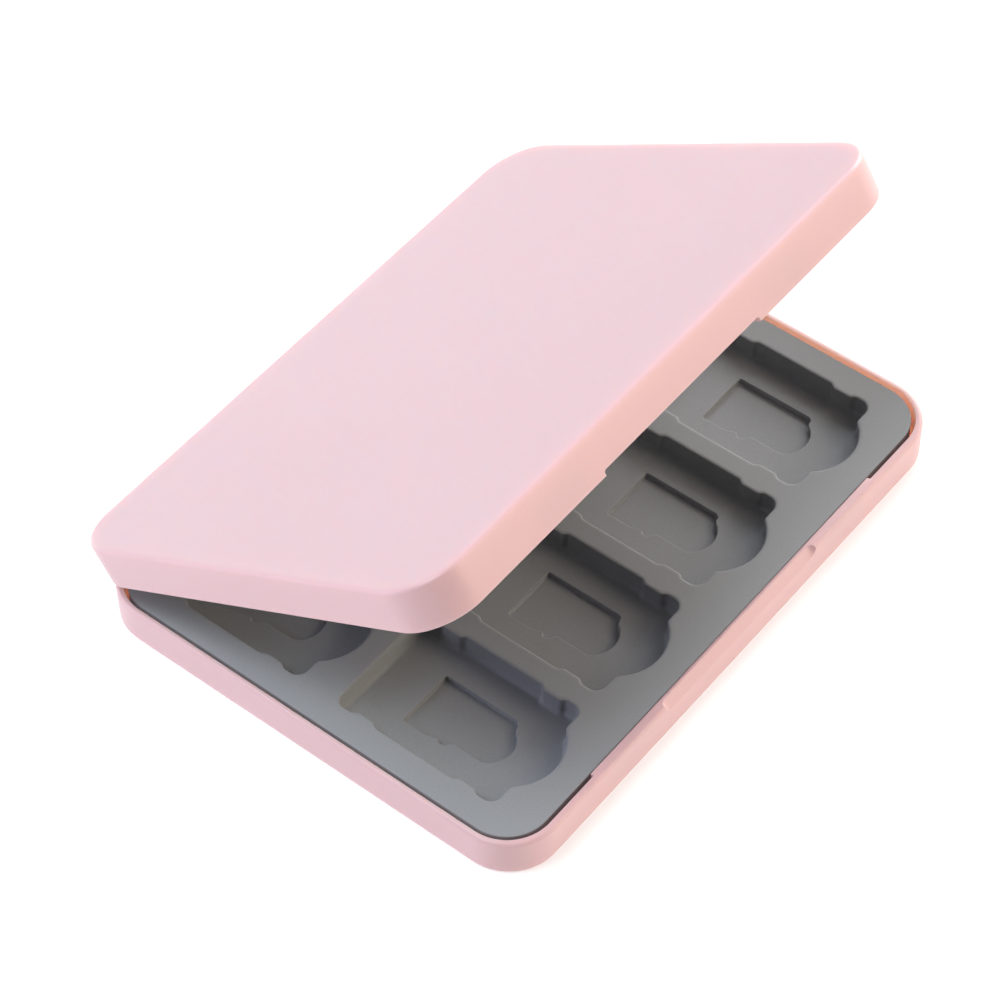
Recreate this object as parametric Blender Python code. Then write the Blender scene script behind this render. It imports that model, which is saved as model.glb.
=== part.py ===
"""Hinged game card case: two moulded shells, each holding a card tray, joined by two pinned hinges.

Lengths are in metres and +Z is up. The origin is the middle of the base's underside, X runs along
the hinge, the hinge is on the +Y side and the edge that opens is on the -Y side. The lid is built
shut and then turned back about the hinge axis to the angle at which it stands open.
"""
import math

import bmesh
import bpy
from mathutils import Matrix, Vector

# Card slots
slot_columns = 4
slot_rows = 2
slot_width = 0.0223
slot_length = 0.03135
slot_depth = 0.0037
slot_hinge_corner_radius = 0.0014
slot_front_corner_radius = 0.0019
column_web = 0.0040
row_web = 0.0040

# Nubs that pinch a card's sides
nub_depth = 0.00065
nub_length = 0.0048
nub_flank = 0.0008
nub_from_end = 0.0057

# Thumb recess at the front end of each card slot
thumb_chord = 0.0136
thumb_rise = 0.0033
thumb_fillet = 0.0010

# Memory card slot in the floor of each card slot
memory_width = 0.0109
memory_length = 0.0150
memory_depth = 0.0010
memory_shoulder = 0.0014
memory_from_hinge_end = 0.0087
memory_corner_radius = 0.0004
memory_front_radius = 0.0012
nail_chord = 0.0082
nail_rise = 0.00225

# Each place on the stepped side, as shares of the slot's length and of its shoulder
memory_side_shares = ((0.31, 0.0), (0.43, 0.5), (0.45, 0.5), (0.47, 0.05), (0.54, 0.05), (0.60, 1.0))

# Trays
tray_side_margin = 0.00485
tray_end_margin = 0.0048
tray_floor = 0.0010
tray_drop = 0.0003
tray_seat_gap = 0.0003
tray_side_gap = 0.00065
tray_end_gap = 0.00075

# Shells
base_floor = 0.0012
lid_roof = 0.0014
side_wall = 0.0010
end_wall = 0.00125
corner_radius = 0.0091
face_edge_radius = 0.0008
base_rim_radius = 0.0006
lid_rim_radius = 0.00025
parting_gap = 0.00015
front_land_length = 0.0742
front_land_clearance = 0.0002

# Finger opening in the middle of the front edge
finger_length = 0.0386
finger_bevel_length = 0.0402
finger_bevel_reach = 0.0013
finger_bevel_drop = 0.0015
finger_notch_height = 0.0009
finger_notch_radius = 0.0006

# Hinges
hinge_spacing = 0.0600
barrel_radius = 0.0020
axis_behind_wall = 0.00015
base_knuckle_length = 0.0050
lid_knuckle_length = 0.0080
knuckle_gap = 0.0003
barrel_clearance = 0.0003
pin_radius = 0.00075
pin_clearance = 0.00015
pin_end_recess = 0.0004

# Magnets
magnet_length = 0.0100
magnet_thickness = 0.0010
magnet_height = 0.0040
magnet_spacing = 0.0560
magnet_below_rim = 0.0008
magnet_clearance = 0.00015

# The lid's angle from shut, as it stands open
open_angle = math.radians(31.6)

# Facets
shell_corner_steps = 9
edge_steps = 3
slot_corner_steps = 3
thumb_steps = 8
nail_steps = 6
barrel_facets = 28
pin_facets = 20

# Edges that meet at more than this show sharp on the round pins
sharp_angle = math.radians(40)

# How far every cutter runs past what it cuts
overrun = 0.0010

# Sizes that follow
slot_reach = slot_length + thumb_rise
column_pitch = slot_width + column_web
row_pitch = slot_reach + row_web
tray_width = slot_columns * slot_width + (slot_columns - 1) * column_web + 2 * tray_side_margin
tray_depth = slot_rows * slot_reach + (slot_rows - 1) * row_web + 2 * tray_end_margin
tray_thickness = tray_floor + memory_depth + slot_depth
case_width = tray_width + 2 * (tray_side_gap + side_wall)
case_depth = tray_depth + 2 * (tray_end_gap + end_wall)
cavity_radius = corner_radius - side_wall
tray_radius = cavity_radius - tray_side_gap
base_height = base_floor + tray_seat_gap + tray_thickness + tray_drop
lid_height = lid_roof + tray_seat_gap + tray_thickness + tray_drop
axis_y = case_depth / 2 + axis_behind_wall
axis_z = base_height + parting_gap / 2
land_y = -tray_depth / 2 - front_land_clearance
bore_radius = pin_radius + pin_clearance
relief_radius = barrel_radius + barrel_clearance
hinge_length = lid_knuckle_length + 2 * (knuckle_gap + base_knuckle_length)


def clear_scene():
    """Remove every object that the file holds."""
    for item in list(bpy.data.objects):
        bpy.data.objects.remove(item)


def make_material(name, colour, roughness, metallic):
    """A Principled material of one colour."""
    material = bpy.data.materials.new(name)
    material.use_nodes = True
    shader = material.node_tree.nodes["Principled BSDF"]
    shader.inputs["Base Color"].default_value = (*colour, 1)
    shader.inputs["Roughness"].default_value = roughness
    shader.inputs["Metallic"].default_value = metallic
    return material


def rounded_path(corners, quarter_steps):
    """Points of a closed path through (x, y, radius) corners, each rounded where its sides allow."""
    points = []
    for index, (x, y, radius) in enumerate(corners):
        here = Vector((x, y))
        back = Vector(corners[index - 1][:2]) - here
        ahead = Vector(corners[(index + 1) % len(corners)][:2]) - here
        turn = math.pi - back.angle(ahead)
        if radius <= 0:
            points.append((x, y))
            continue
        side_limit_share = 0.45
        reach = min(radius * math.tan(turn / 2), side_limit_share * min(back.length, ahead.length))
        fitted = reach / math.tan(turn / 2)
        bisector = (back.normalized() + ahead.normalized()).normalized()
        centre = here + bisector * math.hypot(fitted, reach)
        start = here + back.normalized() * reach - centre
        end = here + ahead.normalized() * reach - centre
        sweep = math.atan2(start.cross(end), start.dot(end))
        steps = max(1, round(quarter_steps * turn / (math.pi / 2)))
        first = math.atan2(start.y, start.x)
        for step in range(steps + 1):
            angle = first + sweep * step / steps
            points.append((centre.x + fitted * math.cos(angle), centre.y + fitted * math.sin(angle)))
    return points


def arc_between(half_chord, rise, steps):
    """Inner points of an arc hanging below a chord, from its left end to its right, about x = 0."""
    radius = (half_chord ** 2 + rise ** 2) / (2 * rise)
    half_angle = math.asin(min(1, half_chord / radius))
    if rise > half_chord:
        half_angle = math.pi - half_angle
    angles = [half_angle * (2 * step / steps - 1) for step in range(1, steps)]
    return [(radius * math.sin(a), radius - rise - radius * math.cos(a)) for a in angles]


def rounded_rectangle(width, depth, radius, steps):
    """Corners of a rectangle about the origin, rounded, anticlockwise."""
    half_x = width / 2
    half_y = depth / 2
    places = [(half_x, -half_y), (half_x, half_y), (-half_x, half_y), (-half_x, -half_y)]
    return rounded_path([(x, y, radius) for x, y in places], steps)


def card_slot_outline():
    """Card slot about its own middle: nubs on both sides and a thumb recess at the front end."""
    hinge_end = slot_reach / 2
    front_end = hinge_end - slot_length
    half_width = slot_width / 2
    pinched = half_width - nub_depth
    arc = [(x, front_end + y, 0) for x, y in arc_between(thumb_chord / 2, thumb_rise, thumb_steps)]
    side = [(thumb_chord / 2, front_end, thumb_fillet), (half_width, front_end, slot_front_corner_radius)]
    for middle in (front_end + nub_from_end, hinge_end - nub_from_end):
        low = middle - nub_length / 2
        high = middle + nub_length / 2
        side += [(half_width, low, 0), (pinched, low + nub_flank, 0)]
        side += [(pinched, high - nub_flank, 0), (half_width, high, 0)]
    side.append((half_width, hinge_end, slot_hinge_corner_radius))
    other_side = [(-x, y, radius) for x, y, radius in reversed(side)]
    return rounded_path(arc + side + other_side, slot_corner_steps)


def memory_slot_outline():
    """Memory card slot about its card slot's middle: one stepped side and a fingernail arc."""
    hinge_end = slot_reach / 2 - memory_from_hinge_end
    front_end = hinge_end - memory_length
    half_width = memory_width / 2
    arc = [(x, front_end + y, 0) for x, y in arc_between(nail_chord / 2, nail_rise, nail_steps)]
    corners = arc + [(nail_chord / 2, front_end, memory_corner_radius)]
    corners.append((half_width, front_end, memory_front_radius))
    corners.append((half_width, hinge_end, memory_corner_radius))
    corners.append((-half_width, hinge_end, memory_corner_radius))
    for along_share, in_share in memory_side_shares:
        place = (-half_width + in_share * memory_shoulder, hinge_end - along_share * memory_length)
        corners.append((*place, 0))
    corners.append((-half_width + memory_shoulder, front_end, 0))
    return rounded_path(corners, slot_corner_steps)


def cavity_outline():
    """Inside of a shell, with the land that stands in from the front wall."""
    half_x = tray_width / 2 + tray_side_gap
    half_y = tray_depth / 2 + tray_end_gap
    half_land = front_land_length / 2
    corners = [(half_x, -half_y, cavity_radius), (half_x, half_y, cavity_radius)]
    corners += [(-half_x, half_y, cavity_radius), (-half_x, -half_y, cavity_radius)]
    corners += [(-half_land, -half_y, 0), (-half_land, land_y, 0)]
    corners += [(half_land, land_y, 0), (half_land, -half_y, 0)]
    return rounded_path(corners, shell_corner_steps)


def slot_centres():
    """Middle of each card slot on a tray, row by row."""
    for row in range(slot_rows):
        for column in range(slot_columns):
            x = (column - (slot_columns - 1) / 2) * column_pitch
            y = (row - (slot_rows - 1) / 2) * row_pitch
            yield x, y


def add_loft(form, rings):
    """Add a closed body that passes through rings of points, bottom ring first."""
    levels = [[form.verts.new(point) for point in ring] for ring in rings]
    form.faces.new(reversed(levels[0]))
    form.faces.new(levels[-1])
    for lower, upper in zip(levels, levels[1:]):
        for index in range(len(lower)):
            after = (index + 1) % len(lower)
            form.faces.new((lower[index], lower[after], upper[after], upper[index]))


def add_prism(form, outline, low, high):
    """Add an upright prism over an outline."""
    add_loft(form, [[(x, y, z) for x, y in outline] for z in (low, high)])


def add_block(form, low, high):
    """Add a rectangular block between two corners."""
    outline = [(low[0], low[1]), (high[0], low[1]), (high[0], high[1]), (low[0], high[1])]
    add_prism(form, outline, low[2], high[2])


def add_rod(form, radius, facets, low_x, high_x, y, z):
    """Add a round rod along X."""
    rings = []
    for x in (low_x, high_x):
        turns = [2 * math.pi * index / facets for index in range(facets)]
        rings.append([(x, y + radius * math.cos(turn), z + radius * math.sin(turn)) for turn in turns])
    add_loft(form, rings)


def make_object(name, form, material=None, turned_over=False, about=(0, 0, 0)):
    """Turn a form into an object; turned_over reflects it in its own XY plane."""
    if turned_over:
        bmesh.ops.transform(form, matrix=Matrix.Scale(-1, 4, (0, 0, 1)), verts=form.verts)
        bmesh.ops.reverse_faces(form, faces=form.faces)
    bmesh.ops.translate(form, vec=-Vector(about), verts=form.verts)
    mesh = bpy.data.meshes.new(name)
    form.to_mesh(mesh)
    form.free()
    item = bpy.data.objects.new(name, mesh)
    bpy.context.collection.objects.link(item)
    if material:
        mesh.materials.append(material)
    return item


def apply_boolean(item, tool, operation):
    """Change an item by a hidden tool body that moves with it."""
    modifier = item.modifiers.new(tool.name, "BOOLEAN")
    modifier.operation = operation
    modifier.solver = "EXACT"
    modifier.object = tool
    tool.parent = item
    tool.hide_render = True
    tool.display_type = "WIRE"


def shell_blank(height, rim_radius):
    """Outside of a shell standing on its broad face: a rounded block with rounded edges."""
    rings = []
    places = []
    for step in range(edge_steps + 1):
        angle = step / edge_steps * math.pi / 2
        places.append((face_edge_radius * (1 - math.sin(angle)), face_edge_radius * (1 - math.cos(angle))))
    for step in range(edge_steps + 1):
        angle = step / edge_steps * math.pi / 2
        inset = rim_radius * (1 - math.cos(angle))
        places.append((inset, height - rim_radius * (1 - math.sin(angle))))
    for inset, z in places:
        size = (case_width - 2 * inset, case_depth - 2 * inset)
        outline = rounded_rectangle(*size, corner_radius - inset, shell_corner_steps)
        rings.append([(x, y, z) for x, y in outline])
    form = bmesh.new()
    add_loft(form, rings)
    return form


def magnet_corners(side, height, clearance):
    """Corners of a magnet, or of its recess, behind the land of a shell of a given height."""
    middle = side * magnet_spacing / 2
    inner = land_y - magnet_clearance
    top = height - magnet_below_rim
    low = (middle - magnet_length / 2, inner - magnet_thickness, top - magnet_height)
    high = (middle + magnet_length / 2, inner, top)
    return [value - clearance for value in low], [value + clearance for value in high]


def hinge_knuckles(of_base, spare):
    """X range of each knuckle of the base or of the lid, longer by spare at both ends."""
    for side in (-1, 1):
        middle = side * hinge_spacing / 2
        lid_end = lid_knuckle_length / 2
        if not of_base:
            yield middle - lid_end - spare, middle + lid_end + spare
            continue
        near = lid_end + knuckle_gap
        far = near + base_knuckle_length
        yield middle - far - spare, middle - near + spare
        yield middle + near - spare, middle + far + spare


def make_shell(name, height, floor, rim_radius, material, of_base, about):
    """A shell: hollowed, recessed for its magnets, opened for a finger and fitted with knuckles."""
    turned_over = not of_base
    rim_axis = height + parting_gap / 2
    shell = make_object(name, shell_blank(height, rim_radius), material, turned_over, about)

    cavity = bmesh.new()
    add_prism(cavity, cavity_outline(), floor, height + overrun)
    for side in (-1, 1):
        low, high = magnet_corners(side, height, magnet_clearance)
        add_block(cavity, low, (high[0], land_y + tray_end_gap, high[2]))
    recess = make_object(name + "_hollow", cavity, None, turned_over, about)
    apply_boolean(shell, recess, "DIFFERENCE")
    shell.modifiers[-1].use_self = True

    finger = make_finger_tool(name + "_finger", height, of_base, turned_over, about)
    apply_boolean(shell, finger, "DIFFERENCE")

    relief = bmesh.new()
    for low_x, high_x in hinge_knuckles(not of_base, knuckle_gap):
        add_rod(relief, relief_radius, barrel_facets, low_x, high_x, axis_y, rim_axis)
    apply_boolean(shell, make_object(name + "_relief", relief, None, turned_over, about), "DIFFERENCE")

    knuckles = bmesh.new()
    bores = bmesh.new()
    for low_x, high_x in hinge_knuckles(of_base, 0):
        add_rod(knuckles, barrel_radius, barrel_facets, low_x, high_x, axis_y, rim_axis)
        past = (low_x - overrun, high_x + overrun)
        add_rod(bores, bore_radius, pin_facets, *past, axis_y, rim_axis)
    apply_boolean(shell, make_object(name + "_knuckles", knuckles, None, turned_over, about), "UNION")
    apply_boolean(shell, make_object(name + "_bores", bores, None, turned_over, about), "DIFFERENCE")
    return shell


def make_finger_tool(name, height, of_base, turned_over, about):
    """Tool for the finger opening: a bevel on the base's rim, a notch through the lid's."""
    half = finger_length / 2
    front = -case_depth / 2
    form = bmesh.new()
    if of_base:
        half = finger_bevel_length / 2
        slope = finger_bevel_drop / finger_bevel_reach
        section = [(front - overrun, height - finger_bevel_drop - overrun * slope)]
        section += [(front + finger_bevel_reach + overrun, height + overrun * slope)]
        section.append((front - overrun, height + overrun * slope))
        add_loft(form, [[(x, y, z) for y, z in section] for x in (-half, half)])
    else:
        low = height - finger_notch_height
        outline = [(-half, height + overrun, 0), (-half, low, finger_notch_radius)]
        outline += [(half, low, finger_notch_radius), (half, height + overrun, 0)]
        path = rounded_path(outline, slot_corner_steps)
        add_loft(form, [[(x, y, z) for x, z in path] for y in (land_y + tray_end_gap, front - overrun)])
    return make_object(name, form, None, turned_over, about)


def make_tray(name, floor, height, material, turned_over, about):
    """A tray: a slab with card slots sunk in it, each with a memory card slot in its floor."""
    low = floor + tray_seat_gap
    high = height - tray_drop
    slab = bmesh.new()
    outline = rounded_rectangle(tray_width, tray_depth, tray_radius, shell_corner_steps)
    add_prism(slab, outline, low, high)
    tray = make_object(name, slab, material, turned_over, about)
    slots = bmesh.new()
    memory_slots = bmesh.new()
    slot_floor = high - slot_depth
    for x, y in slot_centres():
        card = [(x + px, y + py) for px, py in card_slot_outline()]
        memory = [(x + px, y + py) for px, py in memory_slot_outline()]
        add_prism(slots, card, slot_floor, high + overrun)
        add_prism(memory_slots, memory, slot_floor - memory_depth, slot_floor + slot_depth / 2)
    apply_boolean(tray, make_object(name + "_slots", slots, None, turned_over, about), "DIFFERENCE")
    memory_tool = make_object(name + "_memory_slots", memory_slots, None, turned_over, about)
    apply_boolean(tray, memory_tool, "DIFFERENCE")
    return tray


def make_magnets(prefix, height, material, turned_over, about):
    """The pair of bar magnets behind a shell's front wall."""
    magnets = []
    for side, word in ((-1, "left"), (1, "right")):
        form = bmesh.new()
        add_block(form, *magnet_corners(side, height, 0))
        magnets.append(make_object(prefix + "_magnet_" + word, form, material, turned_over, about))
    return magnets


def make_hinge_pins(material):
    """The two pins on the hinge axis, each inside one hinge's knuckles."""
    for side, word in ((-1, "left"), (1, "right")):
        form = bmesh.new()
        half = hinge_length / 2 - pin_end_recess
        add_rod(form, pin_radius, pin_facets, -half, half, 0, 0)
        pin = make_object("hinge_pin_" + word, form, material)
        pin.location = (side * hinge_spacing / 2, axis_y, axis_z)
        pin.data.shade_smooth()
        pin.data.set_sharp_from_angle(angle=sharp_angle)


clear_scene()
pink_plastic = make_material("pink_plastic", (0.80, 0.53, 0.53), 0.45, 0)
grey_rubber = make_material("grey_rubber", (0.24, 0.25, 0.26), 0.70, 0)
steel = make_material("steel", (0.60, 0.60, 0.61), 0.30, 1)
nickel = make_material("nickel", (0.70, 0.69, 0.66), 0.22, 1)

# Base half
make_shell("base_shell", base_height, base_floor, base_rim_radius, pink_plastic, True, (0, 0, 0))
make_tray("base_tray", base_floor, base_height, grey_rubber, False, (0, 0, 0))
make_magnets("base", base_height, nickel, False, (0, 0, 0))
make_hinge_pins(steel)

# Lid half, built about the hinge axis: its rim faces down, half the parting gap above that axis
lid_axis = (0, axis_y, -lid_height - parting_gap / 2)
lid_hinge = bpy.data.objects.new("lid_hinge", None)
bpy.context.collection.objects.link(lid_hinge)
lid_hinge.location = (0, axis_y, axis_z)
lid_hinge.rotation_euler = (-open_angle, 0, 0)
lid_shell = make_shell("lid_shell", lid_height, lid_roof, lid_rim_radius, pink_plastic, False, lid_axis)
lid_parts = [lid_shell]
lid_parts.append(make_tray("lid_tray", lid_roof, lid_height, grey_rubber, True, lid_axis))
lid_parts += make_magnets("lid", lid_height, nickel, True, lid_axis)
for lid_part in lid_parts:
    lid_part.parent = lid_hinge
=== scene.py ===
"""Game card case, standing half open: two pink moulded halves joined by a pair of knuckle hinges, each
lined with a grey rubber tray that holds eight game cards, and a memory card under each.

Sizes are in millimetres, and a mesh turns to metres as it is made. +Z is up, X runs along the hinge,
the hinge is on the +Y side and the edge that opens is on the -Y side.
"""

import bpy
import numpy as np
from mathutils import Euler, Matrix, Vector
from mathutils.geometry import delaunay_2d_cdt


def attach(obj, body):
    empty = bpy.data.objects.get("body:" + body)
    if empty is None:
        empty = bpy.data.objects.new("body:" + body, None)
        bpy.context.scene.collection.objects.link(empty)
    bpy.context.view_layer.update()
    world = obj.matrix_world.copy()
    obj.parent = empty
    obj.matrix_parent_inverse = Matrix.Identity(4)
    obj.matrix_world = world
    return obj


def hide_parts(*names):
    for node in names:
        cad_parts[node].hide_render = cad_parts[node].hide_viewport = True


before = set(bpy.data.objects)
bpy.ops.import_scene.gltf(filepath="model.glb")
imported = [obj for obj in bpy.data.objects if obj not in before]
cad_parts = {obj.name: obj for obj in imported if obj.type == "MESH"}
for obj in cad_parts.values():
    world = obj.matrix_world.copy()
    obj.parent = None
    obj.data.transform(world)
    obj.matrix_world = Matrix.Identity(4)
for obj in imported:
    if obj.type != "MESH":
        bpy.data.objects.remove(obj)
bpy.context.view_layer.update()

# Lower half of the case. A shallow tub of pale pink ABS, injection moulded in one shot. Its outside is
# spark textured to a fine satin, its front wall is thickened to a land, and the rim's outer edge is
# bevelled in the middle of the front, where a fingertip lifts the lid.
case_width = 114.2
case_depth = 86.9
corner_radius = 9.1
side_wall = 1.0
end_wall = 1.25
face_round = 0.8
face_margin = 0.5
rim_inner_round = 0.1
floor_round = 0.5
floor_margin = 0.4
base_height = 7.5
base_floor = 1.2
base_rim_round = 0.6
land_half = 37.1
land_fade = 0.3
land_wall = 1.8
land_hollow = 0.25
land_ledge = 0.15
land_ledge_drop = 0.3
bevel_half = 20.1
bevel_reach = 1.3
bevel_drop = 1.5
bevel_soft = 0.3

# The hinges and the magnets shape the walls too. Each hinge has two knuckles on this half, on either
# side of the lid's one, and the rim gives way to the lid's knuckle.
hinge_spacing = 60.0
axis_behind_wall = 0.15
parting_gap = 0.15
axis_y = case_depth / 2 + axis_behind_wall
axis_z = base_height + parting_gap / 2
relief_radius = 2.3
barrel_radius = 2.0
barrel_edge = 0.2
bore_radius = 0.9
barrel_turns = 56
lid_knuckle_end = 4.0
knuckle_gap = 0.3
base_knuckle_length = 5.0
base_knuckle_near = lid_knuckle_end + knuckle_gap
base_knuckle_far = base_knuckle_near + base_knuckle_length
magnet_length = 10.0
magnet_thickness = 1.0
magnet_height = 4.0
magnet_spacing = 56.0
magnet_below_rim = 0.8
magnet_clearance = 0.15
magnet_reach = magnet_length / 2 + magnet_clearance

# A hair is the least width of a square step. A wall is straight where at least this share of its
# outward direction lies along Y.
hair = 0.01
straight = 0.999
corner_steps = 20
arc_steps = 6
four_corners = [(1, -1), (1, 1), (-1, 1), (-1, -1)]


def ease(values, width):
    """The smooth step 3t^2 - 2t^3, which rises from 0 to 1 across a width centred on zero."""
    t = np.clip(values / width + 0.5, 0, 1)
    return t * t * (3 - 2 * t)


def wall_stations(front_x, back_x):
    """Points and outward directions round the outer wall, anticlockwise from the front's left end. Each
    corner is its middle plus the corner radius times (cos, sin) over a quarter turn, and the front and
    back walls have a point at each given x."""
    half = np.array([case_width, case_depth]) / 2
    points = [np.stack([front_x, np.full(front_x.shape, -half[1])], -1)]
    outward = [np.tile([0.0, -1.0], (front_x.size, 1))]
    for quarter, sign in enumerate(four_corners):
        turn = np.linspace(-np.pi / 2, 0, corner_steps + 1) + quarter * np.pi / 2
        direction = np.stack([np.cos(turn), np.sin(turn)], -1)
        points.append((half - corner_radius) * sign + corner_radius * direction)
        outward.append(direction)
        if quarter == 1:
            points.append(np.stack([back_x[::-1], np.full(back_x.shape, half[1])], -1))
            outward.append(np.tile([0.0, 1.0], (back_x.size, 1)))
    return np.concatenate(points), np.concatenate(outward)


def shell_surface(points, outward, height, floor, reach, drop, soft, lowered, relieved):
    """Grid of points over one half of the case: a wall profile carried round the stations. Each row of
    the profile is a distance in from the outer wall and a height at every station. It starts on the
    broad face, turns up through a quarter circle, and crosses the rim over a bevel of a given reach and
    drop, with an arc of radius soft at each end of it that turns through the bevel's own angle. Then it
    comes down the inside, over the land's ledge, to the floor. Where the other half's knuckle passes,
    the rim is the part of a circle about the hinge axis that lies inside the wall."""
    x = points[:, 0]
    same = np.ones(x.shape)
    on_front = outward[:, 1] < -straight
    land = on_front * ease(land_half - np.abs(x), land_fade)
    plain_wall = side_wall + (end_wall - side_wall) * np.abs(outward[:, 1])
    hollow = land_hollow * (1 - np.clip(x / land_half, -1, 1) ** 2)
    wall = plain_wall + land * (land_wall - hollow - plain_wall)
    ledge = plain_wall + land * (land_wall + land_ledge - plain_wall)
    top = height - lowered
    share = np.linspace(0, 1, arc_steps + 1)[:, None]
    quarter = share * np.pi / 2
    slant = np.arctan2(reach, drop)
    lower, upper = slant * share, (np.pi / 2 - slant) * (1 - share)

    face_in = [same * (face_round + face_margin), *(face_round * (1 - np.sin(quarter)) * same)]
    face_up = [same * 0, *(face_round * (1 - np.cos(quarter)) * same)]
    rim_in = [*(soft * (1 - np.cos(lower)))]
    rim_up = [*(top - drop - soft * np.tan(slant / 2) + soft * np.sin(lower))]
    rim_in += [*(reach + soft * np.tan(np.pi / 4 - slant / 2) - soft * np.sin(upper))]
    rim_up += [*(top - soft * (1 - np.cos(upper)))]
    rim_in += [*(wall - rim_inner_round * (1 - np.sin(quarter)))]
    rim_up += [*(top - rim_inner_round * (1 - np.cos(quarter)))]
    first = np.arccos(axis_behind_wall / relief_radius)
    last = np.arccos((wall + axis_behind_wall) / relief_radius)
    sweep = first + (last - first) * np.linspace(0, 1, len(rim_in))[:, None]
    rim_in = np.where(relieved, relief_radius * np.cos(sweep) - axis_behind_wall, rim_in)
    rim_up = np.where(relieved, height + parting_gap / 2 - relief_radius * np.sin(sweep), rim_up)

    in_pocket = on_front & (np.abs(np.abs(x) - magnet_spacing / 2) < magnet_reach)
    pocket_wall = np.where(in_pocket, land_wall - magnet_thickness - 2 * magnet_clearance, ledge)
    ledge_up = rim_up[-1] - land_ledge_drop
    pocket_top = np.minimum(height - magnet_below_rim + magnet_clearance, ledge_up - 6 * hair)
    pocket_low = height - magnet_below_rim - magnet_height - magnet_clearance
    inner_in = [wall, ledge, ledge, pocket_wall, pocket_wall, ledge]
    inner_up = [ledge_up, ledge_up - 3 * hair, pocket_top, pocket_top - hair]
    inner_up += [same * pocket_low + hair, same * pocket_low]
    floor_in = [*(ledge + floor_round * (1 - np.cos(quarter))), ledge + floor_round + floor_margin]
    floor_up = [*((floor + floor_round * (1 - np.sin(quarter))) * same), same * floor]

    inset = np.concatenate([face_in, rim_in, inner_in, floor_in])
    heights = np.concatenate([face_up, rim_up, inner_up, floor_up])
    flat = points[None] - outward[None] * inset[..., None]
    return np.concatenate([flat, heights[..., None]], -1).transpose(1, 0, 2)


def grid_faces(stations, rows, round_rows=False):
    """Corners of the quads between neighbouring stations, which close in a ring, and rows."""
    strips = rows if round_rows else rows - 1
    station, row = np.meshgrid(np.arange(stations), np.arange(strips), indexing="ij")
    after = (station + 1) % stations
    above = (row + 1) % rows
    quads = [station * rows + row, after * rows + row, after * rows + above, station * rows + above]
    return np.stack(quads, -1).reshape(-1, 4).tolist()


def end_faces(stations, rows):
    """The two flat faces that close a ring of stations at its first row and at its last."""
    ring = np.arange(stations) * rows
    return [ring[::-1].tolist(), (ring + rows - 1).tolist()]


def capped_form(surface):
    """Points and faces of a grid of stations and rows with both its open ends closed."""
    stations, rows = surface.shape[:2]
    return surface.reshape(-1, 3), grid_faces(stations, rows) + end_faces(stations, rows)


def turned(along, across, height, turns):
    """Grid of points of a profile turned about the hinge axis, which runs half the parting gap over a rim
    of a given height: the profile's places along the axis, and its distances from it times (cos, sin)."""
    turn = np.linspace(0, 2 * np.pi, turns, endpoint=False)[:, None]
    z = height + parting_gap / 2 + across * np.sin(turn)
    return np.stack([along + turn * 0, axis_y + across * np.cos(turn), z], -1)


def knuckle_form(low_x, high_x, height):
    """Points and faces of a knuckle: a closed profile, from the bore over a rounded end to the barrel,
    over the other end and back through the bore, turned about the hinge axis."""
    quarter = np.linspace(0, np.pi / 2, arc_steps + 1)
    in_from_end = barrel_edge * (1 - np.cos(quarter))
    out_to_barrel = barrel_radius - barrel_edge * (1 - np.sin(quarter))
    along = np.array([low_x, *(low_x + in_from_end), *(high_x - in_from_end[::-1]), high_x])
    across = np.array([bore_radius, *out_to_barrel, *out_to_barrel[::-1], bore_radius])
    surface = turned(along, across, height, barrel_turns)
    return surface.reshape(-1, 3), grid_faces(barrel_turns, along.size, round_rows=True)


def joined(*forms):
    """One list of points and one of faces from several forms."""
    starts = np.cumsum([0] + [len(points) for points, _ in forms]).tolist()
    faces = [[corner + start for corner in face]
             for (_, own), start in zip(forms, starts) for face in own]
    return np.concatenate([points for points, _ in forms]), faces


mm = 0.001
smooth_up_to = np.radians(32)


def add_piece(name, form, material, node, body):
    """Make a piece from its form, in metres, smooth but for its sharper edges, and let it stand for its
    node of the frame."""
    points, faces = form
    mesh = bpy.data.meshes.new(name)
    mesh.from_pydata((points * mm).tolist(), [], faces)
    mesh.shade_smooth()
    mesh.set_sharp_from_angle(angle=smooth_up_to)
    mesh.materials.append(material)
    piece = bpy.data.objects.new(name, mesh)
    bpy.context.scene.collection.objects.link(piece)
    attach(piece, body)
    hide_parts(node)


def linear(code):
    """Linear colour of an sRGB hex code: ((c + 0.055) / 1.055) ^ 2.4 above 0.04045, and c / 12.92 below."""
    values = np.array([int(code[place:place + 2], 16) / 255 for place in (1, 3, 5)])
    curved = np.where(values > 0.04045, ((values + 0.055) / 1.055) ** 2.4, values / 12.92)
    return (*curved.tolist(), 1.0)


def add_node(tree, kind, inputs={}, **settings):
    """Add a shader node with its settings. Each input is a value, or another node's socket to link. It
    goes by its name, or by its number where several of a node's sockets share a name."""
    made = tree.nodes.new("ShaderNode" + kind)
    for name, value in settings.items():
        setattr(made, name, value)
    for name, value in inputs.items():
        if isinstance(value, bpy.types.NodeSocket):
            tree.links.new(value, made.inputs[name])
        else:
            made.inputs[name].default_value = value
    return made


least_glow = 0.12
side_glow_most = 0.95
side_glow_starts = 54.5
side_glow_full = 59.5
roof_glow_most = 0.8
roof_glow_starts = 0.41
roof_glow_full = 0.54


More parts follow.
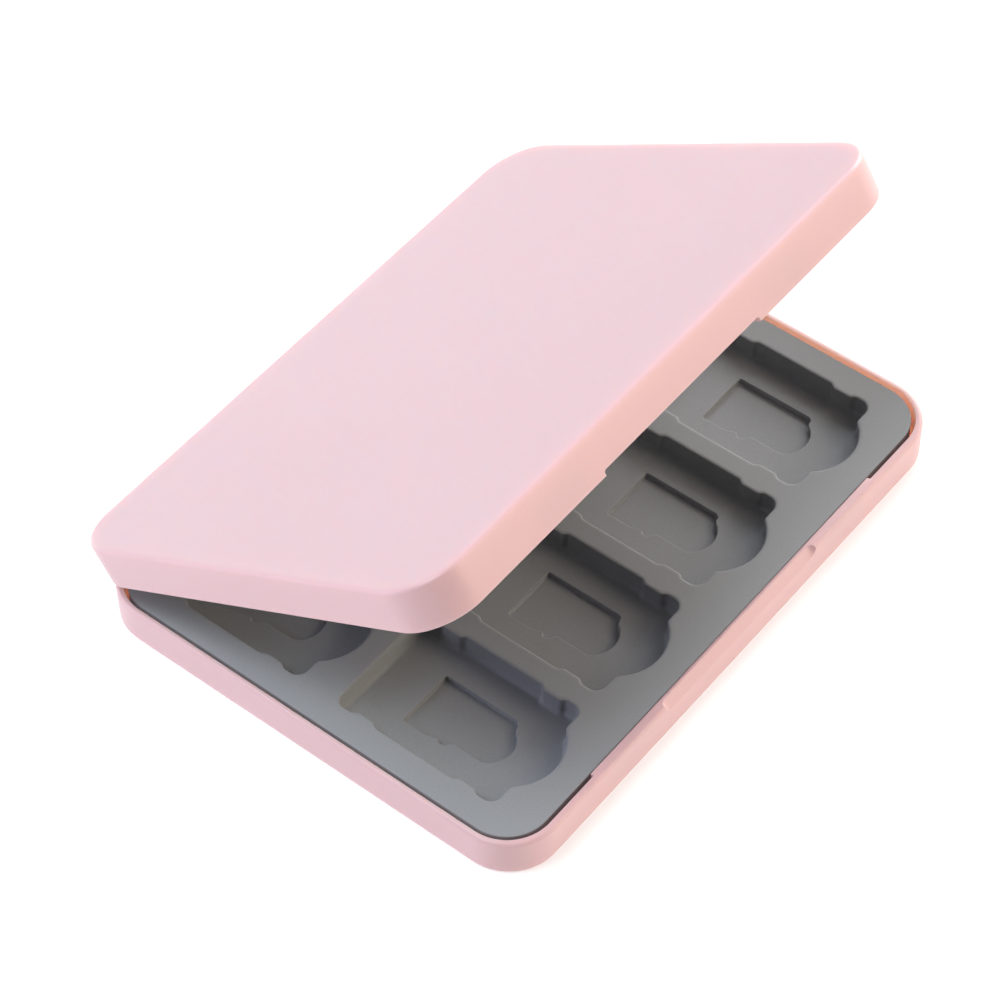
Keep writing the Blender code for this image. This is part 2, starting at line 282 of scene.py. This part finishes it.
def pink_abs():
    """Pale pink ABS, moulded in a spark textured tool: satin, with a fine even grain and a faint drift of
    tone, some 40 mm long. The real grain is near 0.1 mm and is drawn at 0.35 mm, so that it shows. The
    thin plastic of the short sides and of the lid's roof lets light through, and the thick front wall
    doesn't. A short side's glow follows a face's distance across the case from its middle, less half of
    that distance times how far the face looks outwards. That is 29 mm on the outer face, which keeps its
    own colour, 56 on the rim and 84 on the inner face. The roof's glow follows how far a face looks back,
    which is 0.52 on the tilted roof and more on what faces the hinge."""
    material = bpy.data.materials.new("pink_moulded_abs")
    material.use_nodes = True
    tree = material.node_tree
    shader = tree.nodes["Principled BSDF"]
    place = add_node(tree, "TexCoord")
    spot = place.outputs["Object"]
    flow = add_node(tree, "TexNoise", {"Vector": spot, "Scale": 1 / (40 * mm), "Detail": 2.0})
    grain = add_node(tree, "TexNoise", {"Vector": spot, "Scale": 1 / (0.35 * mm), "Detail": 3.0})
    tints = {6: linear("#EABBBD"), 7: linear("#ECBEC1")}
    tint = add_node(tree, "Mix", {0: flow.outputs[0], **tints}, data_type="RGBA")
    gloss = add_node(tree, "MapRange", {"Value": grain.outputs[0], "To Min": 0.30, "To Max": 0.42})
    swell = add_node(tree, "Bump", {"Strength": 0.25, "Distance": 0.2 * mm, "Height": flow.outputs[0]})
    bump = add_node(tree, "Bump", {"Strength": 0.12, "Distance": 0.05 * mm, "Height": grain.outputs[0],
                                   "Normal": swell.outputs[0]})
    tree.links.new(tint.outputs[2], shader.inputs["Base Color"])
    tree.links.new(gloss.outputs[0], shader.inputs["Roughness"])
    tree.links.new(bump.outputs[0], shader.inputs["Normal"])
    shader.inputs["IOR"].default_value = 1.53
    across = add_node(tree, "SeparateXYZ", {"Vector": spot}).outputs["X"]
    facing = add_node(tree, "SeparateXYZ", {"Vector": place.outputs["Normal"]})
    distance = add_node(tree, "Math", {0: across}, operation="ABSOLUTE")
    outward = add_node(tree, "Math", {0: across, 1: facing.outputs["X"]}, operation="MULTIPLY")
    inside = add_node(tree, "Math", {0: outward.outputs[0], 1: -0.5, 2: distance.outputs[0]},
                      operation="MULTIPLY_ADD")
    side_glow = add_node(tree, "MapRange", {
        "Value": inside.outputs[0], "From Min": side_glow_starts * mm, "From Max": side_glow_full * mm,
        "To Min": least_glow, "To Max": side_glow_most})
    roof_glow = add_node(tree, "MapRange", {
        "Value": facing.outputs["Y"], "From Min": roof_glow_starts, "From Max": roof_glow_full,
        "To Min": least_glow, "To Max": roof_glow_most})
    glow = add_node(tree, "Math", {0: side_glow.outputs[0], 1: roof_glow.outputs[0]}, operation="MAXIMUM")
    tree.links.new(glow.outputs[0], shader.inputs["Subsurface Weight"])
    shader.inputs["Subsurface Radius"].default_value = (1.0, 0.62, 0.46)
    shader.inputs["Subsurface Scale"].default_value = 6 * mm
    return material


pink = pink_abs()

# The walls have stations where they change: at the land's ends, along the bevel's rounded ends, a hair
# to each side of a square step, and here and there along the straight.
square_step = np.array([-hair, hair])
land_places = land_half + (land_fade / 2 + hair) * np.linspace(-1, 1, 7)
magnet_ends = magnet_spacing / 2 + np.array([-1, 1]) * magnet_reach
magnet_places = (magnet_ends[:, None] + square_step).ravel()
spread_places = np.array([44.0, 40.0, 14.0, 9.0, 4.0])
bevel_places = bevel_half - bevel_reach * (1 - np.cos(np.linspace(0, np.pi / 2, 13)))
side_x = np.concatenate([land_places, bevel_places, [bevel_half + hair], magnet_places, spread_places])
front_x = np.unique(np.concatenate([-side_x, side_x]))
relief_x = hinge_spacing / 2 + np.array([-1, 1]) * base_knuckle_near
back_side_x = np.concatenate([(relief_x[:, None] + square_step).ravel(), [44.0, 20.0, 8.0]])
back_x = np.unique(np.concatenate([-back_side_x, back_side_x]))
points, outward = wall_stations(front_x, back_x)
from_end = np.clip(bevel_half - np.abs(points[:, 0]), 0, bevel_reach)
opened = (outward[:, 1] < -straight) * np.sqrt(1 - (1 - from_end / bevel_reach) ** 2)
from_hinge = np.abs(np.abs(points[:, 0]) - hinge_spacing / 2)
relieved = (outward[:, 1] > straight) & (from_hinge < base_knuckle_near)


def plain_rim(round_radius):
    """Reach and drop of the bevel on a plain rim. At the radius times (1 - tan(45 / 2)) the arcs at the
    bevel's two ends meet in a quarter round, and two hairs more leave a sliver of flat between them."""
    return round_radius * (1 - np.tan(np.pi / 8)) + 2 * hair


plain = plain_rim(base_rim_round)
reach = plain + opened * (bevel_reach - plain)
drop = plain + opened * (bevel_drop - plain)
soft = base_rim_round + opened * (bevel_soft - base_rim_round)
level = np.zeros(len(points))
surface = shell_surface(points, outward, base_height, base_floor, reach, drop, soft, level, relieved)
knuckle_starts = [side * hinge_spacing / 2 + start
                  for side in (-1, 1) for start in (-base_knuckle_far, base_knuckle_near)]
knuckles = [knuckle_form(start, start + base_knuckle_length, base_height) for start in knuckle_starts]
add_piece("lower_shell", joined(capped_form(surface), *knuckles), pink, "base_shell", "base")

# Upper half. The same moulding in the same pink ABS, 0.2 mm taller and thicker, with a sharper rim and a
# shallow notch through the front of the rim, over the fingertip bevel. It is worked out lying roof down
# like the lower half, then turned over and swung open.
lid_height = 7.7
lid_roof = 1.4
lid_rim_round = 0.25
finger_half = 19.3
notch_depth = 0.9
notch_round = 0.6
open_angle = np.radians(31.6)


def on_lid(points):
    """Place points given in the lid's own frame, roof down: turn them over about the parting plane, then
    swing them back about the hinge axis by the opening angle."""
    y = points[:, 1] - axis_y
    z = lid_height + parting_gap / 2 - points[:, 2]
    cosine, sine = np.cos(open_angle), np.sin(open_angle)
    return np.stack([points[:, 0], axis_y + y * cosine + z * sine, axis_z - y * sine + z * cosine], -1)


def lid_form(form):
    """A form laid on the lid. Turning it over mirrors it, so its faces run the other way round."""
    points, faces = form
    return on_lid(points), [face[::-1] for face in faces]


notch_places = finger_half - notch_round * (1 - np.cos(np.linspace(0, np.pi / 2, 9)))
side_x = np.concatenate([land_places, notch_places, [finger_half + 2 * hair], magnet_places, spread_places])
front_x = np.unique(np.concatenate([-side_x, side_x]))
relief_near = base_knuckle_near - knuckle_gap
relief_far = base_knuckle_far + knuckle_gap
relief_x = hinge_spacing / 2 + np.array([-relief_far, -relief_near, relief_near, relief_far])
back_side_x = np.concatenate([(relief_x[:, None] + square_step).ravel(), [44.0, 8.0]])
back_x = np.unique(np.concatenate([-back_side_x, back_side_x]))
points, outward = wall_stations(front_x, back_x)
from_end = finger_half - np.abs(points[:, 0])
to_flat = np.clip(notch_round - from_end, 0, notch_round)
curve = notch_round - np.sqrt(np.clip(notch_round ** 2 - to_flat ** 2, 0, None))
lowered = np.where((outward[:, 1] < -straight) & (from_end > 0), notch_depth - curve, 0)
from_hinge = np.abs(np.abs(points[:, 0]) - hinge_spacing / 2)
relieved = (outward[:, 1] > straight) & (from_hinge > relief_near) & (from_hinge < relief_far)
rim = np.full(len(points), plain_rim(lid_rim_round))
surface = shell_surface(points, outward, lid_height, lid_roof, rim, rim, lid_rim_round, lowered, relieved)
middles = [side * hinge_spacing / 2 for side in (-1, 1)]
knuckles = [knuckle_form(middle - lid_knuckle_end, middle + lid_knuckle_end, lid_height)
            for middle in middles]
lid = lid_form(joined(capped_form(surface), *knuckles))
add_piece("upper_shell", lid, pink, "lid_shell", "lid")

# Card trays, one pressed into each half. Soft grey thermoplastic rubber, moulded with eight card slots.
# Two nubs on each long side pinch a card, an arc at the front end lets a thumb in, and the slot's floor
# has a shallower slot for a memory card, stepped on one side like the card, with a fingernail arc.
slot_columns = 4
slot_rows = 2
slot_width = 22.3
slot_length = 31.35
slot_depth = 3.7
thumb_chord = 13.6
thumb_rise = 3.3
thumb_slope = np.radians(48.9)
column_web = 4.0
row_web = 4.0
tray_side_margin = 4.85
tray_end_margin = 4.8
tray_radius = 7.45
tray_drop = 0.3
tray_seat_gap = 0.3
tray_chamfer = 0.3
tray_top_round = 0.15
tray_top_margin = 0.1
slot_edge = 0.6
slot_foot = 0.85
memory_edge = 0.2
memory_foot = 0.18
memory_width = 10.9
memory_length = 15.0
memory_depth = 1.0
memory_shoulder = 1.4
nail_slope = np.radians(56)
memory_from_hinge_end = 8.7
slot_reach = slot_length + thumb_rise


def rounded_loop(corners, steps):
    """Closed anticlockwise path through corners of x, y and radius, and its outward directions. An arc
    takes the place of each corner: it starts radius times tan(turn / 2) before the corner, and is its
    centre plus the radius times a direction that swings from one side's to the next side's. Points
    that fall on one another are one."""
    here, radius = corners[:, :2], corners[:, 2:]
    ahead = np.roll(here, -1, 0) - here
    ahead /= np.linalg.norm(ahead, axis=1, keepdims=True)
    before = np.roll(ahead, 1, 0)
    sine = before[:, :1] * ahead[:, 1:] - before[:, 1:] * ahead[:, :1]
    turn = np.arctan2(sine, (before * ahead).sum(1, keepdims=True))
    bend = np.sign(turn) * radius
    swing = np.arctan2(-before[:, :1], before[:, 1:]) + turn * np.linspace(0, 1, steps + 1)
    outward = np.stack([np.cos(swing), np.sin(swing)], -1)
    start = here - before * np.abs(np.tan(turn / 2)) * radius
    centre = start - bend * outward[:, 0]
    path = (centre[:, None] + bend[:, None] * outward).reshape(-1, 2)
    apart = np.linalg.norm(path - np.roll(path, 1, 0), axis=1) > hair / 20
    return path[apart], outward.reshape(-1, 2)[apart]


def arc_corner(half_chord, front, slope, fillet):
    """Corner whose arc hangs below a chord: the meeting point of the lines that leave the chord's ends
    at a slope, and the radius that leaves room for the fillets at those ends."""
    depth = half_chord * np.tan(slope)
    radius = (half_chord / np.cos(slope) - fillet * np.tan(slope / 2)) / np.tan(slope)
    return [0, front - depth, radius]


def card_slot():
    """Corners of a card slot about its middle: the thumb's arc, then each side with its two nubs."""
    half, hinge_end = slot_width / 2, slot_reach / 2
    front = hinge_end - slot_length
    nub_in, nub_half, nub_flank, nub_from_end, fillet = 0.65, 2.4, 0.8, 5.7, 1.0
    side = [[thumb_chord / 2, front, fillet], [half, front, 1.9]]
    for middle in (front + nub_from_end, hinge_end - nub_from_end):
        side.append([half, middle - nub_half, fillet])
        side += [[half - nub_in, middle + end * (nub_half - nub_flank), fillet] for end in (-1, 1)]
        side.append([half, middle + nub_half, fillet])
    side.append([half, hinge_end, 1.4])
    mirrored = [[-x, y, radius] for x, y, radius in side[::-1]]
    return np.array([arc_corner(thumb_chord / 2, front, thumb_slope, fillet), *side, *mirrored])


def memory_slot():
    """Corners of a memory card slot about its card slot's middle: the fingernail's arc, the plain side,
    and the stepped side, a ramp and a notch given in shares of the length and of the shoulder."""
    half, hinge_end = memory_width / 2, slot_reach / 2 - memory_from_hinge_end
    front = hinge_end - memory_length
    nail_half = half - memory_shoulder
    corners = [arc_corner(nail_half, front, nail_slope, 0.6), [nail_half, front, 0.6]]
    corners += [[half, front, 1.0], [half, hinge_end, 0.4], [-half, hinge_end, 0.4]]
    ramp = [(0.31, 0, 2), (0.43, 0.5, 0.5), (0.45, 0.5, 0.25)]
    notch = [(0.47, 0.05, 0.3), (0.54, 0.05, 0.5), (0.6, 1, 0.5)]
    corners += [[-half + inward * memory_shoulder, hinge_end - along * memory_length, radius]
                for along, inward, radius in ramp + notch]
    return np.array([*corners, [-nail_half, front, 0.3]])


def carried(loop, rows):
    """A profile of outward distances and heights, carried round a loop, as a form open at both ends."""
    path, outward = loop
    rows = np.array(rows)
    flat = path[:, None] + outward[:, None] * rows[None, :, :1]
    heights = np.broadcast_to(rows[None, :, 1:], (len(path), len(rows), 1))
    return np.concatenate([flat, heights], -1).reshape(-1, 3), grid_faces(len(path), len(rows))


def sunk(top, low, edge, foot):
    """Profile of a pocket's wall: a narrow flat margin, a quarter of an ellipse over the edge, three
    times as wide as it is deep, a quarter circle at the foot, and a margin again."""
    quarter = np.linspace(0, np.pi / 2, arc_steps + 1)
    margin = 4 * hair
    over = zip(edge * (1 - np.sin(quarter)), top - edge / 3 * (1 - np.cos(quarter)))
    under = zip(-foot * (1 - np.cos(quarter)), low + foot * (1 - np.sin(quarter)))
    return [(edge + margin, top), *over, *under, (-foot - margin, low)]


def flat_face(points, rings):
    """Triangles over a flat face with holes: a Delaunay net of what lies inside the rings, which keeps
    their edges, less the triangles that a second ring, a hole's, lies round too. A ring lists its
    points' places in the form. The first is the face's own edge."""
    places = np.concatenate(rings)
    starts = np.cumsum([0] + [len(ring) for ring in rings]).tolist()
    loops = [list(range(low, high)) for low, high in zip(starts, starts[1:])]
    spots = [Vector(spot) for spot in points[places, :2].tolist()]
    only_inside, nearest = 1, 1e-6
    net = delaunay_2d_cdt(spots, [], loops, only_inside, nearest, True)
    triangles, sources, owners = net[2], net[3], net[5]
    places = places.tolist()
    return [[places[sources[corner][0]] for corner in triangle]
            for triangle, owner in zip(triangles, owners) if owner == [0]]


def tray_form(floor, height):
    """A tray: the rounded slab's edge, the walls of the card slots and of the memory slots in their
    floors, then the flat faces between them."""
    low, top = floor + tray_seat_gap, height - tray_drop
    half_x = (slot_columns * slot_width + (slot_columns - 1) * column_web) / 2 + tray_side_margin
    half_y = (slot_rows * slot_reach + (slot_rows - 1) * row_web) / 2 + tray_end_margin
    corners = np.array([[x * half_x, y * half_y, tray_radius] for x, y in four_corners])
    quarter = np.linspace(0, np.pi / 2, arc_steps + 1)
    rows = [(-2 * tray_chamfer, low), (-tray_chamfer, low), (0, low + tray_chamfer)]
    rows += zip(-tray_top_round * (1 - np.cos(quarter)), top - tray_top_round * (1 - np.sin(quarter)))
    rows.append((-tray_top_round - tray_top_margin, top))
    points, faces = carried(rounded_loop(corners, steps=16), rows)
    ends = np.arange(0, len(points), len(rows))
    faces.append(ends[::-1].tolist())
    top_rings = [ends + len(rows) - 1]
    slot_floor = top - slot_depth
    card, card_out = rounded_loop(card_slot(), steps=10)
    card_rows = sunk(top, slot_floor, slot_edge, slot_foot)
    memory, memory_out = rounded_loop(memory_slot(), steps=8)
    memory_rows = sunk(slot_floor, slot_floor - memory_depth, memory_edge, memory_foot)
    for row, column in np.ndindex(slot_rows, slot_columns):
        middle = np.array([(column - (slot_columns - 1) / 2) * (slot_width + column_web),
                           (row - (slot_rows - 1) / 2) * (slot_reach + row_web)])
        card_ends = len(points) + np.arange(len(card)) * len(card_rows)
        points, faces = joined((points, faces), carried((card + middle, card_out), card_rows))
        memory_ends = len(points) + np.arange(len(memory)) * len(memory_rows)
        points, faces = joined((points, faces), carried((memory + middle, memory_out), memory_rows))
        top_rings.append(card_ends)
        faces += flat_face(points, [card_ends + len(card_rows) - 1, memory_ends])
        faces += flat_face(points, [memory_ends + len(memory_rows) - 1])
    return points, faces + flat_face(points, top_rings)


def grey_rubber():
    """Thermoplastic rubber, moulded in a bead blasted tool: dry and matt, with a fine grain of 0.3 mm
    and faint clouding where the filler has flowed."""
    material = bpy.data.materials.new("grey_moulded_rubber")
    material.use_nodes = True
    tree = material.node_tree
    shader = tree.nodes["Principled BSDF"]
    place = add_node(tree, "TexCoord").outputs["Object"]
    cloud = add_node(tree, "TexNoise", {"Vector": place, "Scale": 1 / (18 * mm), "Detail": 3.0})
    grain = add_node(tree, "TexNoise", {"Vector": place, "Scale": 1 / (0.3 * mm), "Detail": 2.0})
    tints = {6: linear("#96979B"), 7: linear("#9B9C9F")}
    tint = add_node(tree, "Mix", {0: cloud.outputs[0], **tints}, data_type="RGBA")
    fleck = add_node(tree, "MapRange", {"Value": grain.outputs[0], "From Min": 0.3, "From Max": 0.7,
                                        "To Min": 0.96, "To Max": 1.04})
    shade = add_node(tree, "VectorMath", {0: tint.outputs[2], "Scale": fleck.outputs[0]},
                     operation="SCALE")
    bump = add_node(tree, "Bump", {"Strength": 0.22, "Distance": 0.06 * mm, "Height": grain.outputs[0]})
    tree.links.new(shade.outputs[0], shader.inputs["Base Color"])
    tree.links.new(bump.outputs[0], shader.inputs["Normal"])
    shader.inputs["Roughness"].default_value = 0.72
    shader.inputs["IOR"].default_value = 1.42
    return material


rubber = grey_rubber()
add_piece("lower_tray", tray_form(base_floor, base_height), rubber, "base_tray", "base")
add_piece("upper_tray", lid_form(tray_form(lid_roof, lid_height)), rubber, "lid_tray", "lid")

# Hinge pins, one through each hinge's three knuckles. Cut from drawn steel wire, with the cut ends
# broken, and pressed into the lower half's knuckles until they lie just inside the bores' mouths.
pin_radius = 0.75
pin_end = 0.15
pin_inset = 0.4
pin_turns = 40
pin_half = base_knuckle_far - pin_inset


def pin_form(middle_x):
    """A pin: a half profile of a small cone, the wire and a small cone, turned about the hinge axis."""
    along = middle_x + np.array([-pin_half, -pin_half + pin_end, pin_half - pin_end, pin_half])
    across = pin_radius - np.array([pin_end, 0, 0, pin_end])
    return capped_form(turned(along, across, base_height, pin_turns))


def drawn_steel():
    """Drawn steel wire: a bright metal with fine lines along its length. They are near 0.05 mm apart and
    are drawn at 0.12 mm, so that they show."""
    material = bpy.data.materials.new("drawn_steel_wire")
    material.use_nodes = True
    tree = material.node_tree
    shader = tree.nodes["Principled BSDF"]
    place = add_node(tree, "TexCoord").outputs["Object"]
    long = add_node(tree, "Mapping", {"Vector": place, "Scale": (0.03, 1, 1)}).outputs[0]
    lines = add_node(tree, "TexNoise", {"Vector": long, "Scale": 1 / (0.12 * mm), "Detail": 2.0})
    gloss = add_node(tree, "MapRange", {"Value": lines.outputs[0], "To Min": 0.22, "To Max": 0.42})
    bump = add_node(tree, "Bump", {"Strength": 0.2, "Distance": 0.02 * mm, "Height": lines.outputs[0]})
    tree.links.new(gloss.outputs[0], shader.inputs["Roughness"])
    tree.links.new(bump.outputs[0], shader.inputs["Normal"])
    shader.inputs["Base Color"].default_value = linear("#C3C2C0")
    shader.inputs["Metallic"].default_value = 1.0
    return material


steel = drawn_steel()
for side, word in ((-1, "left"), (1, "right")):
    add_piece("pin_" + word, pin_form(side * hinge_spacing / 2), steel, "hinge_pin_" + word, "base")

# Closing magnets, two behind each half's front land. Sintered blocks with tumbled edges and a bright
# nickel coat, pressed into open pockets that the tray then covers.
magnet_edge = 0.2
magnet_corner = 0.3


def magnet_form(side, height):
    """A block: a rounded rectangle carried up, with its top and bottom edges drawn in along a quarter
    circle, and flat faces over both ends."""
    x = side * magnet_spacing / 2
    y = land_wall - case_depth / 2 - magnet_clearance - magnet_thickness / 2
    top = height - magnet_below_rim
    half_x, half_y = magnet_length / 2, magnet_thickness / 2
    corners = np.array([[x + right * half_x, y + back * half_y, magnet_corner]
                        for right, back in four_corners])
    quarter = np.linspace(0, np.pi / 2, arc_steps + 1)
    low = top - magnet_height
    under = zip(-magnet_edge * (1 - np.sin(quarter)), low + magnet_edge * (1 - np.cos(quarter)))
    over = zip(-magnet_edge * (1 - np.cos(quarter)), top - magnet_edge * (1 - np.sin(quarter)))
    rows = [*under, *over]
    points, faces = carried(rounded_loop(corners, steps=5), rows)
    return points, faces + end_faces(len(points) // len(rows), len(rows))


def nickel_coat():
    """Bright nickel over a sintered block: a warm white metal, with faint orange peel at 0.5 mm."""
    material = bpy.data.materials.new("nickel_coated_magnet")
    material.use_nodes = True
    tree = material.node_tree
    shader = tree.nodes["Principled BSDF"]
    place = add_node(tree, "TexCoord").outputs["Object"]
    peel = add_node(tree, "TexNoise", {"Vector": place, "Scale": 1 / (0.5 * mm), "Detail": 1.0})
    gloss = add_node(tree, "MapRange", {"Value": peel.outputs[0], "To Min": 0.14, "To Max": 0.26})
    bump = add_node(tree, "Bump", {"Strength": 0.1, "Distance": 0.03 * mm, "Height": peel.outputs[0]})
    tree.links.new(gloss.outputs[0], shader.inputs["Roughness"])
    tree.links.new(bump.outputs[0], shader.inputs["Normal"])
    shader.inputs["Base Color"].default_value = linear("#D8D2C6")
    shader.inputs["Metallic"].default_value = 1.0
    return material


nickel = nickel_coat()
for side, word in ((-1, "left"), (1, "right")):
    lower = magnet_form(side, base_height)
    upper = lid_form(magnet_form(side, lid_height))
    add_piece("lower_magnet_" + word, lower, nickel, "base_magnet_" + word, "base")
    add_piece("upper_magnet_" + word, upper, nickel, "lid_magnet_" + word, "lid")

# Table and light, in metres. The case stands on a white sweep that shines a little itself, so that the
# shadow stays faint. Six soft boxes stand round it: cool ones behind on the left and overhead, near
# white ones low and high on the right, and warm ones low and high in front.
table_half = 4
table_mesh = bpy.data.meshes.new("table")
table_mesh.from_pydata([(table_half * x, table_half * y, 0) for x, y in four_corners], [], [range(4)])
table = bpy.data.objects.new("table", table_mesh)
bpy.context.scene.collection.objects.link(table)
white = bpy.data.materials.new("white_sweep")
white.use_nodes = True
white_shader = white.node_tree.nodes["Principled BSDF"]
white_shader.inputs["Base Color"].default_value = linear("#CECECD")
white_shader.inputs["Roughness"].default_value = 0.7
white_shader.inputs["Emission Color"].default_value = linear("#FFFFFF")
white_shader.inputs["Emission Strength"].default_value = 0.52
table_mesh.materials.append(white)
case_middle = (0, 0, 0.03)


def soft_box(name, place, size, power, colour):
    """A rectangular area light at a place, turned to face the middle of the case."""
    light = bpy.data.lights.new(name, "AREA")
    light.shape = "RECTANGLE"
    light.size, light.size_y = size
    light.energy = power
    light.color = linear(colour)[:3]
    lamp = bpy.data.objects.new(name, light)
    lamp.location = place
    lamp.rotation_euler = (Vector(case_middle) - lamp.location).to_track_quat("-Z", "Y").to_euler()
    bpy.context.scene.collection.objects.link(lamp)


soft_box("left_box", (-0.75, 0.85, 0.45), (0.8, 0.6), 6.7, "#E2E7FF")
soft_box("top_box", (-0.35, 0.25, 1.00), (0.5, 0.5), 7.7, "#EDF9FF")
soft_box("right_box", (0.98, 0.10, 0.30), (0.9, 0.6), 4.4, "#FFFBF6")
soft_box("high_right_box", (0.85, 0.25, 0.55), (0.8, 0.5), 6.5, "#F9FCFF")
soft_box("front_box", (0.55, -0.90, 0.40), (0.9, 0.6), 5.7, "#FFF2DC")
soft_box("high_front_box", (0.60, -0.60, 0.75), (0.6, 0.6), 2.0, "#FFF1DF")

world = bpy.data.worlds.new("studio")
world.use_nodes = True
world.node_tree.nodes["Background"].inputs["Color"].default_value = linear("#FFFFFF")
world.node_tree.nodes["Background"].inputs["Strength"].default_value = 0.02
bpy.context.scene.world = world
bpy.context.scene.view_settings.view_transform = "Standard"

# Camera. It stands where the photograph was taken from, above the front left corner, with a long lens.
# Its place, turn and lens were solved from the case's edges and corners.
camera = bpy.data.cameras.new("camera")
camera.sensor_width = 36
camera.lens = 119.643
camera.clip_start = 0.01
viewer = bpy.data.objects.new("camera", camera)
viewer.location = (-0.268010, -0.214225, 0.426362)
viewer.rotation_euler = Euler(np.radians([39.2396, 0.7404, -51.5539]))
bpy.context.scene.collection.objects.link(viewer)
bpy.context.scene.camera = viewer
